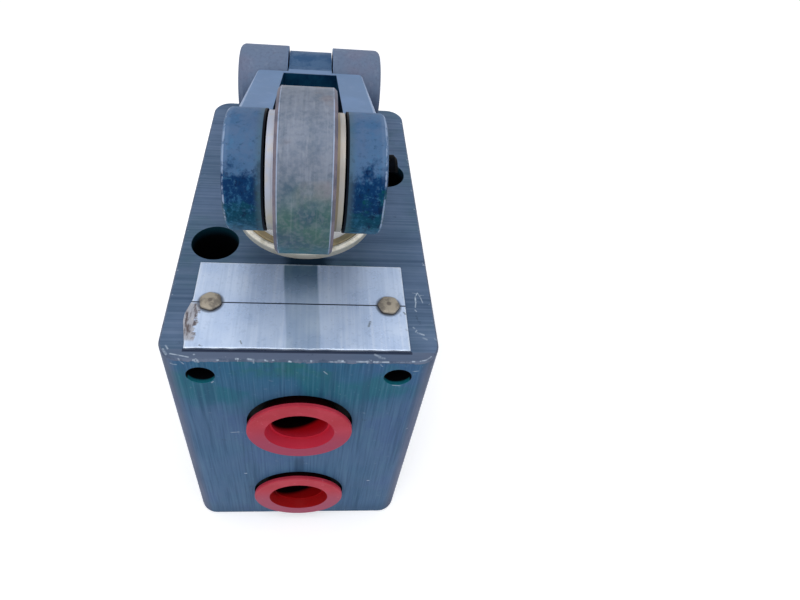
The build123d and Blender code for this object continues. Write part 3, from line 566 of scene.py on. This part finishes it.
def roller_steel():
    """Rolling surface with fine rings and pale blotches, darker low down as painted shade with a green stain there, a
    painted highlight along its edge chamfers and painted shade on its side faces.
    """
    finish = Finish("roller_steel", metallic=0.2, roughness=0.5, Specular_IOR_Level=0.15)
    rings = finish.noise(1.0, detail=3, stretch=(1400, 70, 70))
    blotch = finish.noise(270, detail=6, roughness=0.65)
    streak = finish.noise(1.0, detail=4, stretch=(900, 150, 150), offset=(5, 2, 8))
    warm = finish.noise(190, detail=3, offset=(7, 3, 1))
    width = finish.size_of(finish.axis(finish.place, "X"))
    height = finish.axis(finish.place, "Z")
    uneven = finish.maths("MULTIPLY", finish.maths("SUBTRACT", blotch, 0.5), 10 * mm)
    level = finish.maths("ADD", height, uneven)
    base = finish.mix(finish.ramp(blotch, 0.35, 0.65), colour(96, 108, 127), colour(122, 131, 148))
    base = finish.mix(finish.ramp(warm, 0.5, 0.66, 0, 0.55), base, colour(126, 118, 124))
    # Painted shade: darker lower down the roller, with a green stain there.
    low = finish.mix(finish.ramp(blotch, 0.32, 0.68), colour(52, 80, 98), colour(70, 104, 104))
    low = finish.mix(finish.ramp(warm, 0.42, 0.62, 0, 0.5), low, colour(66, 102, 88))
    base = finish.mix(finish.ramp(level, 91 * mm, 84 * mm), base, low)
    base = finish.mix(finish.ramp(level, 78.5 * mm, 75 * mm, 0, 0.85), base, colour(56, 110, 122))
    base = finish.mix(finish.ramp(rings, 0.48, 0.66, 0, 0.34), base, colour(80, 94, 112))
    base = finish.mix(finish.ramp(rings, 0.42, 0.3, 0, 0.22), base, colour(150, 156, 172))
    fine = finish.noise(1500, detail=3, offset=(3, 1, 6))
    base = finish.mix(finish.ramp(fine, 0.45, 0.62, 0, 0.2), base, colour(138, 144, 154))
    base = finish.mix(finish.ramp(fine, 0.44, 0.3, 0, 0.22), base, colour(60, 72, 88))
    base = finish.mix(finish.ramp(streak, 0.64, 0.72, 0, 0.2), base, colour(160, 164, 176))
    # Painted highlight: pale line along the roller's edge chamfers.
    edge = finish.both(finish.between(width, 3.72 * mm, 3.8 * mm, 0.06 * mm), finish.ramp(blotch, 0.36, 0.55, 0.2, 0.8))
    base = finish.mix(edge, base, colour(158, 172, 200))
    # Painted shade: mauve-grey on the roller's side faces, in the gap beside the washers.
    side_gap_shade = finish.over(width, 3.88 * mm, 0.06 * mm)
    base = finish.mix(side_gap_shade, base, finish.mix(finish.ramp(blotch, 0.4, 0.6), colour(92, 92, 108), colour(122, 114, 124)))
    finish.paint(base)
    finish.rough(finish.ramp(blotch, 0.3, 0.7, 0.4, 0.58))
    finish.bump(finish.maths("ADD", rings, blotch), 0.25, 0.00006)
    return finish.material


def dull_metal(name, light, dark, metallic=0.2, scale=420):
    """Dull bare metal with darker clouds."""
    finish = Finish(name, metallic=metallic, roughness=0.42, Specular_IOR_Level=0.3)
    cloud = finish.noise(scale, detail=5, roughness=0.65)
    fine = finish.noise(2200, detail=2)
    base = finish.mix(finish.ramp(cloud, 0.42, 0.66), light, dark)
    finish.paint(finish.mix(finish.ramp(fine, 0.55, 0.7, 0, 0.25), base, dark))
    finish.rough(finish.ramp(cloud, 0.3, 0.7, 0.34, 0.5))
    finish.bump(cloud, 0.15, 0.00006)
    return finish.material


def washer_metal():
    """Pale worn brass, greyer on the left and creamier on the right, with a brown band of painted shade on the right
    beside the roller.
    """
    finish = Finish("washer_brass", metallic=0.15, roughness=0.4, Specular_IOR_Level=0.2)
    cloud = finish.noise(300, detail=5, roughness=0.6)
    wear = finish.noise(1.0, detail=3, stretch=(1800, 90, 90))
    width = finish.axis(finish.place, "X")
    right = finish.over(width, 0.0, 0.1 * mm)
    base = finish.mix(right, colour(180, 188, 206), colour(188, 186, 182))
    base = finish.mix(finish.ramp(cloud, 0.46, 0.64, 0, 0.7), base, colour(192, 182, 172))
    base = finish.mix(finish.ramp(wear, 0.52, 0.7, 0, 0.45), base, colour(140, 140, 150))
    low = finish.ramp(finish.axis(finish.place, "Z"), 86 * mm, 80 * mm, 0, 0.55)
    base = finish.mix(low, base, colour(196, 192, 164))
    # Painted shade: brown band on the right washer beside the roller.
    shade_beside_roller = finish.both(right, finish.under(width, 4.75 * mm, 0.15 * mm))
    base = finish.mix(finish.ramp(shade_beside_roller, 0, 1, 0, 0.8), base, colour(142, 128, 100))
    finish.paint(base)
    finish.bump(wear, 0.15, 0.00005)
    return finish.material


def ring_brass():
    """Tan turned face with a cream rim, where the edge is rubbed bright and carries a painted highlight, greyer on its
    outer wall.
    """
    finish = Finish("ring_brass", metallic=0.15, roughness=0.42, Specular_IOR_Level=0.25)
    cloud = finish.noise(420, detail=5, roughness=0.65)
    turned = finish.noise(150, detail=3, offset=(2, 2, 2))
    far = finish.from_axis("X", "Y", (0, bore_y))
    tan_face = finish.mix(finish.ramp(turned, 0.4, 0.62), colour(186, 168, 132), colour(146, 138, 112))
    tan_face = finish.mix(finish.ramp(cloud, 0.55, 0.7, 0, 0.5), tan_face, colour(196, 184, 152))
    # Cream rim: rubbed bright, with a painted highlight in its near-white tones.
    cream = finish.mix(finish.ramp(cloud, 0.48, 0.68), colour(252, 248, 236), colour(216, 212, 194))
    rim = finish.over(far, 12.45 * mm, 0.25 * mm)
    base = finish.mix(rim, tan_face, cream)
    outer_wall = finish.over(far, 13.22 * mm, 0.05 * mm)
    base = finish.mix(finish.ramp(outer_wall, 0, 1, 0, 0.6), base, colour(176, 180, 176))
    finish.paint(base)
    finish.bump(cloud, 0.15, 0.00006)
    return finish.material


def bright_steel(name="bright_steel", metallic=0.5, light=(236, 239, 244), dark=(206, 211, 220)):
    """Polished steel with faint turning marks."""
    finish = Finish(name, metallic=metallic, roughness=0.28)
    marks = finish.noise(1.0, detail=2, stretch=(60, 60, 2200))
    smear = finish.noise(260, detail=4)
    base = finish.mix(finish.ramp(marks, 0.4, 0.7), colour(*light), colour(*dark))
    finish.paint(finish.mix(finish.ramp(smear, 0.58, 0.72, 0, 0.4), base, colour(*dark)))
    finish.rough(finish.ramp(smear, 0.3, 0.7, 0.22, 0.36))
    finish.bump(marks, 0.08, 0.00004)
    return finish.material


def black_steel():
    """Oiled black oxide."""
    finish = Finish("black_steel", roughness=0.6, Specular_IOR_Level=0.02)
    cloud = finish.noise(500, detail=4)
    finish.paint(finish.mix(finish.ramp(cloud, 0.4, 0.7), colour(2, 3, 6), colour(9, 12, 20)))
    finish.bump(cloud, 0.1, 0.00005)
    return finish.material


# Dark nicks and smears on the plate: start and end in millimetres, width
plate_stains = (
    ((17.0, -26.9, 62.5), (17.2, -27.2, 62.5), 0.22),
    ((17.0, -30.4, 62.5), (17.2, -30.6, 62.5), 0.20),
    ((11.2, -29.0, 62.5), (10.9, -29.9, 62.5), 0.26),
    ((-9.5, -33.2, 62.5), (-9.3, -33.7, 62.5), 0.16),
    ((-15.7, -34.1, 62.5), (-15.3, -34.3, 62.5), 0.20),
)


def plate_metal():
    """Thin bright plate with a thin dark line, white edges partly rubbed and partly painted highlight, a painted
    reflection of the roller, painted shade on its cut edges and round the screws, and a creased brown end.
    """
    finish = Finish("plate_metal", metallic=0.2, roughness=0.3, Specular_IOR_Level=0.25)
    strokes = finish.noise(1.0, detail=3, stretch=(1700, 40, 45))
    cloud = finish.noise(170, detail=4)
    stain = finish.noise(560, detail=5, roughness=0.7)
    fine = finish.noise(1800, detail=3, offset=(2, 8, 3))
    width = finish.axis(finish.place, "X")
    depth = finish.axis(finish.place, "Y")
    base = finish.mix(finish.ramp(cloud, 0.35, 0.65), colour(180, 200, 232), colour(194, 211, 238))
    base = finish.mix(finish.ramp(strokes, 0.48, 0.66, 0, 0.3), base, colour(156, 178, 210))
    base = finish.mix(finish.ramp(strokes, 0.46, 0.32, 0, 0.3), base, colour(214, 226, 246))
    base = finish.mix(finish.ramp(fine, 0.55, 0.7, 0, 0.3), base, colour(150, 170, 200))
    base = finish.mix(finish.ramp(stain, 0.64, 0.72, 0, 0.45), base, colour(128, 144, 164))

    # Painted reflection of the roller: a dark band on the plate below it
    left_side = finish.ramp(depth, -16.5 * mm, -34 * mm, -3.3 * mm, -2.2 * mm)
    right_side = finish.ramp(depth, -16.5 * mm, -34 * mm, 2.2 * mm, 2.8 * mm)
    roller_reflection = finish.both(
        finish.over(finish.maths("SUBTRACT", width, left_side), 0.0, 0.4 * mm),
        finish.under(finish.maths("SUBTRACT", width, right_side), 0.0, 0.4 * mm),
        finish.ramp(depth, -26 * mm, -17.0 * mm, 0.3, 0.95),
    )
    roller_reflection_colour = finish.mix(finish.ramp(cloud, 0.4, 0.6), colour(78, 110, 138), colour(98, 128, 148))
    base = finish.mix(roller_reflection, base, roller_reflection_colour)

    left = finish.maths("SUBTRACT", width, plate_low_corner.x)
    right = finish.maths("SUBTRACT", plate_high_corner.x, width)
    near = finish.maths("SUBTRACT", depth, plate_low_corner.y)
    back = finish.maths("SUBTRACT", plate_high_corner.y, depth)
    edge = finish.maths("MINIMUM", finish.maths("MINIMUM", left, right), finish.maths("MINIMUM", near, back))
    # Pale edges: partly rubbed metal, partly painted highlight.
    rubbed = finish.ramp(edge, 0.3 * mm, 0.14 * mm, 0, 1)
    base = finish.mix(finish.both(rubbed, finish.ramp(stain, 0.35, 0.6, 0.1, 0.6)), base, colour(226, 236, 248))
    # Painted shade on the plate's cut edges.
    shaded_cut_edge = finish.under(finish.axis(finish.facing, "Z"), 0.5, 0.3)
    base = finish.mix(finish.ramp(shaded_cut_edge, 0, 1, 0, 0.85), base, colour(96, 108, 132))
    off_line = finish.size_of(finish.maths("SUBTRACT", depth, divider_y))
    base = finish.mix(finish.under(off_line, 0.09 * mm, 0.06 * mm), base, colour(14, 24, 48))
    for start, end, size in plate_stains:
        smear = finish.both(finish.scratch(start, end, size), finish.ramp(fine, 0.35, 0.55, 0.3, 1))
        base = finish.mix(finish.ramp(smear, 0, 0.8, 0, 0.7), base, colour(96, 106, 112))

    wander = finish.maths("MULTIPLY", finish.maths("SUBTRACT", stain, 0.5), 4 * mm)
    creased = finish.both(
        finish.under(finish.maths("ADD", width, wander), -17.1 * mm, 0.5 * mm),
        finish.between(depth, -32.8 * mm, -26.2 * mm, 0.9 * mm),
    )
    folds = finish.noise(1.0, detail=5, roughness=0.6, stretch=(1100, 330, 300), turn=(0, 0, 0.3), offset=(2, 1, 1))
    rust = finish.mix(finish.ramp(folds, 0.38, 0.55), colour(78, 64, 62), colour(166, 168, 178))
    rust = finish.mix(finish.ramp(folds, 0.62, 0.7), rust, colour(206, 200, 188))
    base = finish.mix(finish.ramp(creased, 0, 1, 0, 0.95), base, rust)
    # Painted shadow: a dark ring on the plate round each screw head.
    screw_shadow_distance = [finish.from_axis("X", "Y", place) for place in screw_places]
    screw_shadow_distance = finish.maths("MINIMUM", *screw_shadow_distance)
    base = finish.mix(finish.ramp(screw_shadow_distance, 2.4 * mm, 1.95 * mm, 0, 0.75), base, colour(44, 48, 60))
    finish.paint(base)
    finish.rough(finish.any_of(finish.ramp(cloud, 0.3, 0.7, 0.26, 0.36), finish.ramp(creased, 0, 1, 0, 0.5)))
    dents = finish.noise(240, detail=2, offset=(9, 1, 4))
    relief = finish.maths("ADD", finish.maths("MULTIPLY", dents, 1.2), finish.maths("MULTIPLY", strokes, 0.35))
    finish.bump(relief, 0.25, 0.00008)
    return finish.material


def screw_metal():
    """Tan plated steel, darker low on its sides as painted shade, and a dark dimple."""
    finish = Finish("screw_metal", metallic=0.2, roughness=0.45, Specular_IOR_Level=0.25)
    cloud = finish.noise(640, detail=5, roughness=0.65)
    base = finish.mix(finish.ramp(cloud, 0.4, 0.62), colour(162, 154, 140), colour(118, 112, 104))
    far = [finish.from_axis("X", "Y", place) for place in screw_places]
    far = finish.maths("MINIMUM", *far)
    base = finish.mix(finish.ramp(far, 0.5 * mm, 0.25 * mm, 0, 0.7), base, colour(82, 74, 70))
    # Painted shade: darker low on the head's sides, next to the plate.
    low = finish.ramp(finish.axis(finish.place, "Z"), plate_top + 0.45 * mm, plate_top + 0.1 * mm, 0, 0.8)
    finish.paint(finish.mix(low, base, colour(50, 46, 48)))
    finish.bump(cloud, 0.3, 0.00008)
    return finish.material


def plug_plastic():
    """Soft red plastic, slightly glossy, deeper red inside, with painted shade low on the flanges, behind the flanges
    and at the hollow's floor, and painted light on the lower plug's lower rim.
    """
    finish = Finish("plug_plastic", roughness=0.45, Specular_IOR_Level=0.06)
    cloud = finish.noise(240, detail=4)
    scuff = finish.noise(900, detail=4, roughness=0.7, offset=(3, 3, 3))
    depth = finish.maths("SUBTRACT", finish.axis(finish.place, "Y"), front_y)
    height = finish.axis(finish.place, "Z")
    middle = finish.ramp(height, 26 * mm, 27 * mm, port_heights[0], port_heights[1])
    above = finish.maths("SUBTRACT", height, middle)
    far = port_distance(finish)
    base = finish.mix(finish.ramp(cloud, 0.35, 0.7), colour(178, 52, 68), colour(190, 62, 80))
    # Painted shade lower on the flanges; painted light on the lower plug's lower rim.
    base = finish.mix(finish.ramp(above, 4 * mm, -5 * mm), base, colour(160, 62, 90))
    lower_plug_light = finish.both(finish.under(height, 26 * mm, 0.5 * mm), finish.ramp(above, 5 * mm, -2 * mm, 0, 0.5))
    base = finish.mix(lower_plug_light, base, colour(166, 88, 112))
    base = finish.mix(finish.ramp(scuff, 0.62, 0.72, 0, 0.3), base, colour(206, 112, 126))
    hollow = finish.under(far, 6.1 * mm, 0.12 * mm)
    inside = finish.mix(finish.ramp(depth, -1.2 * mm, 1.5 * mm), colour(196, 46, 70), colour(190, 14, 28))
    inside = finish.mix(finish.under(height, 26 * mm, 0.5 * mm), inside, colour(150, 10, 14))
    slant = finish.maths("MULTIPLY", finish.axis(finish.place, "X"), 0.28)
    shadow = finish.ramp(finish.maths("SUBTRACT", depth, slant), 1.1 * mm, 2.1 * mm)
    inside = finish.mix(shadow, inside, colour(6, 0, 1))
    base = finish.mix(hollow, base, inside)
    # Painted shade: dark red behind the flanges, next to the block.
    shade_behind_flange = finish.both(finish.over(far, 6.3 * mm, 0.1 * mm), finish.over(depth, -0.6 * mm, 0.2 * mm))
    base = finish.mix(shade_behind_flange, base, colour(40, 4, 8))
    finish.paint(base)
    finish.bump(finish.maths("ADD", cloud, scuff), 0.12, 0.0001)
    return finish.material


def seal_rubber():
    """Black rubber with a dusty bloom."""
    finish = Finish("seal_rubber", roughness=0.6, Specular_IOR_Level=0.2)
    cloud = finish.noise(700, detail=4)
    finish.paint(finish.mix(finish.ramp(cloud, 0.5, 0.8), colour(14, 14, 15), colour(44, 44, 47)))
    finish.bump(cloud, 0.15, 0.00005)
    return finish.material


finishes = {
    "body_paint": body_paint(),
    "lever_paint": lever_paint(),
    "bracket_metal": bracket_metal(),
    "roller_steel": roller_steel(),
    "bright_steel": bright_steel(),
    "black_steel": black_steel(),
    "brass": dull_metal("brass", colour(196, 176, 122), colour(140, 118, 72)),
    "bronze": dull_metal("bronze", colour(170, 120, 70), colour(120, 78, 40)),
    "washer_brass": washer_metal(),
    "plate_aluminium": plate_metal(),
    "seal_rubber": seal_rubber(),
    "plug_plastic": plug_plastic(),
}
own_finishes = {
    "guide_nut": ring_brass(),
    # The plunger's polished steel is painted plain white, a painted reflection of the white surroundings.
    "plunger": bright_steel("plunger_white_reflection", 0.0, (255, 255, 255), (240, 243, 248)),
    "nameplate_screws": screw_metal(),
}
slot_of = {part["node"]: part["material_slot"] for part in frame["record"]["subparts"]}


def dress_nodes():
    """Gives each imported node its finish."""
    for name, node in frame["nodes"].items():
        node.data.materials.clear()
        node.data.materials.append(own_finishes.get(name, finishes[slot_of[name]]))


def add_piece(name, shape, finish, body, node):
    """Makes a finished piece from a bmesh, riding on a body in place of a CAD node."""
    bmesh.ops.remove_doubles(shape, verts=shape.verts, dist=1e-7)
    bmesh.ops.recalc_face_normals(shape, faces=shape.faces)
    mesh = bpy.data.meshes.new(name)
    shape.to_mesh(mesh)
    shape.free()
    mesh.materials.append(finish)
    piece = bpy.data.objects.new(name, mesh)
    bpy.context.collection.objects.link(piece)
    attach(piece, body)
    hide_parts(node)
    return piece


def smooth_faces(shape):
    for face in shape.faces:
        face.smooth = True


def name_plate():
    """Thin plate, its left end bulged and creased and its front edge a little ragged."""
    shape = bmesh.new()
    bmesh.ops.create_grid(shape, x_segments=90, y_segments=46, size=0.5)
    size = plate_high_corner - plate_low_corner
    middle = (plate_high_corner + plate_low_corner) / 2
    bmesh.ops.scale(shape, vec=(size.x, size.y, 1), verts=shape.verts)
    bmesh.ops.translate(shape, vec=(middle.x, middle.y, plate_low_corner.z), verts=shape.verts)
    for vert in shape.verts:
        place = vert.co.copy()
        from_left = (place.x - plate_low_corner.x) / mm
        if place.y - plate_low_corner.y < 0.1 * mm:
            vert.co.y += (0.05 + noise.noise(place * 600) * 0.12) * mm
        along = place.y / mm
        bulge = max(0.0, min(1.0, (along + 33.8) / 4.2, (-24.8 - along) / 3.3))
        near_left = max(0.0, 1 - from_left / 2.2)
        vert.co.x -= bulge * near_left * 0.82 * mm
        crease = noise.noise(Vector((place.x * 1400, place.y * 500, 0)))
        vert.co.z += bulge * near_left * (0.12 + crease * 0.2) * mm
    bmesh.ops.solidify(shape, geom=shape.faces[:], thickness=-0.5 * mm)
    rims = [edge for edge in shape.edges if edge.is_manifold and edge.calc_face_angle(0) > radians(60)]
    bmesh.ops.bevel(
        shape, geom=rims, offset=0.07 * mm, offset_type="OFFSET", segments=2, profile=0.5,
        affect="EDGES", material=-1, clamp_overlap=True,
    )
    smooth_faces(shape)
    add_piece("name_plate_sheet", shape, finishes["plate_aluminium"], "body", "nameplate")


def screw_head(shape, place, turn):
    """Six-sided head with soft corners and a low step up to its flat crown."""
    centre = Vector((*place, plate_top + 0.32 * mm))
    head = bmesh.ops.create_cone(
        shape, cap_ends=True, segments=6, radius1=2.05 * mm, radius2=1.95 * mm, depth=0.64 * mm
    )["verts"]
    bmesh.ops.rotate(shape, verts=head, cent=(0, 0, 0), matrix=Matrix.Rotation(turn, 3, "Z"))
    bmesh.ops.translate(shape, vec=centre, verts=head)
    edges = {edge for vert in head for edge in vert.link_edges}
    uprights = [edge for edge in edges if abs(edge.verts[0].co.z - edge.verts[1].co.z) > 0.5 * mm]
    bmesh.ops.bevel(
        shape, geom=uprights, offset=0.45 * mm, offset_type="OFFSET", segments=4, profile=0.5,
        affect="EDGES", material=-1, clamp_overlap=True,
    )
    own = [face for face in shape.faces if (face.calc_center_median().xy - centre.xy).length < 2.3 * mm]
    crown = max(own, key=lambda face: face.calc_center_median().z)
    rim = [edge for edge in crown.edges]
    bmesh.ops.bevel(
        shape, geom=rim, offset=0.3 * mm, offset_type="OFFSET", segments=4, profile=0.5,
        affect="EDGES", material=-1, clamp_overlap=True,
    )
    own = [face for face in shape.faces if (face.calc_center_median().xy - centre.xy).length < 0.1 * mm]
    crown = max(own, key=lambda face: face.calc_center_median().z)
    bmesh.ops.poke(shape, faces=[crown], offset=0.08 * mm)


def plate_screws():
    """The two drive screws: heads and shanks."""
    shape = bmesh.new()
    for place, turn in zip(screw_places, (0.2, 0.42)):
        screw_head(shape, place, turn)
        shank = bmesh.ops.create_cone(
            shape, cap_ends=True, segments=24, radius1=1.1 * mm, radius2=1.1 * mm, depth=3.9 * mm
        )["verts"]
        bmesh.ops.translate(shape, vec=(*place, plate_top - 1.95 * mm), verts=shank)
    smooth_faces(shape)
    add_piece("plate_screw_heads", shape, own_finishes["nameplate_screws"], "body", "nameplate_screws")


def floor():
    """Pale floor, white where the light reaches it."""
    mesh = bpy.data.meshes.new("floor")
    shape = bmesh.new()
    bmesh.ops.create_grid(shape, x_segments=1, y_segments=1, size=1.5)
    shape.to_mesh(mesh)
    shape.free()
    piece = bpy.data.objects.new("floor", mesh)
    bpy.context.collection.objects.link(piece)
    finish = Finish("floor_white", roughness=0.9)
    finish.paint(colour(236, 237, 240))
    rays = finish.nodes.new("ShaderNodeLightPath")
    seen = finish.maths("MAXIMUM", rays.outputs["Is Camera Ray"], rays.outputs["Is Glossy Ray"])
    seen = finish.maths("MAXIMUM", seen, rays.outputs["Is Transmission Ray"])
    glow = finish.nodes.new("ShaderNodeEmission")
    finish.join(finish.maths("MULTIPLY", seen, 0.45), glow.inputs["Strength"])
    both = finish.nodes.new("ShaderNodeAddShader")
    finish.links.new(finish.shader.outputs["BSDF"], both.inputs[0])
    finish.links.new(glow.outputs["Emission"], both.inputs[1])
    output = finish.nodes["Material Output"]
    finish.links.new(both.outputs["Shader"], output.inputs["Surface"])
    mesh.materials.append(finish.material)


def soft_light(name, place, aim, size, power, tone=(1, 1, 1)):
    """Square area lamp aimed at a point."""
    lamp = bpy.data.lights.new(name, "AREA")
    lamp.energy = power
    lamp.size = size
    lamp.color = tone
    piece = bpy.data.objects.new(name, lamp)
    piece.location = place
    piece.rotation_euler = (Vector(aim) - Vector(place)).to_track_quat("-Z", "Y").to_euler()
    bpy.context.collection.objects.link(piece)


def studio():
    """White surroundings, a broad lamp overhead and weaker lamps in front and at the side."""
    world = bpy.data.worlds.new("studio")
    bpy.context.scene.world = world
    world.use_nodes = True
    nodes = world.node_tree.nodes
    links = world.node_tree.links
    rays = nodes.new("ShaderNodeLightPath")
    seen = nodes.new("ShaderNodeMath")
    seen.operation = "MAXIMUM"
    links.new(rays.outputs["Is Camera Ray"], seen.inputs[0])
    links.new(rays.outputs["Is Glossy Ray"], seen.inputs[1])
    seen_through = nodes.new("ShaderNodeMath")
    seen_through.operation = "MAXIMUM"
    links.new(seen.outputs["Value"], seen_through.inputs[0])
    links.new(rays.outputs["Is Transmission Ray"], seen_through.inputs[1])
    strength = nodes.new("ShaderNodeMapRange")
    strength.inputs["To Min"].default_value = 0.42
    strength.inputs["To Max"].default_value = 1.0
    links.new(seen_through.outputs["Value"], strength.inputs["Value"])
    background = nodes["Background"]
    background.inputs["Color"].default_value = (1, 1, 1, 1)
    links.new(strength.outputs["Result"], background.inputs["Strength"])
    middle = (0, 0, 0.05)
    soft_light("overhead", (-0.05, -0.05, 0.6), middle, 0.5, 1.6)
    soft_light("front", (-0.25, -0.6, 0.25), middle, 0.4, 0.9)
    soft_light("right", (0.5, -0.1, 0.35), middle, 0.3, 0.35)


def camera():
    """Camera at the photograph's place and angle."""
    view = bpy.data.cameras.new("camera")
    view.sensor_width = 36
    view.lens = camera_lens
    view.shift_x, view.shift_y = camera_shift
    view.clip_start = 0.005
    view.clip_end = 10
    piece = bpy.data.objects.new("camera", view)
    piece.location = camera_place
    piece.rotation_euler = camera_turn
    bpy.context.collection.objects.link(piece)
    bpy.context.scene.camera = piece


dress_nodes()
name_plate()
plate_screws()
floor()
studio()
camera()
bpy.context.scene.view_settings.view_transform = "Standard"
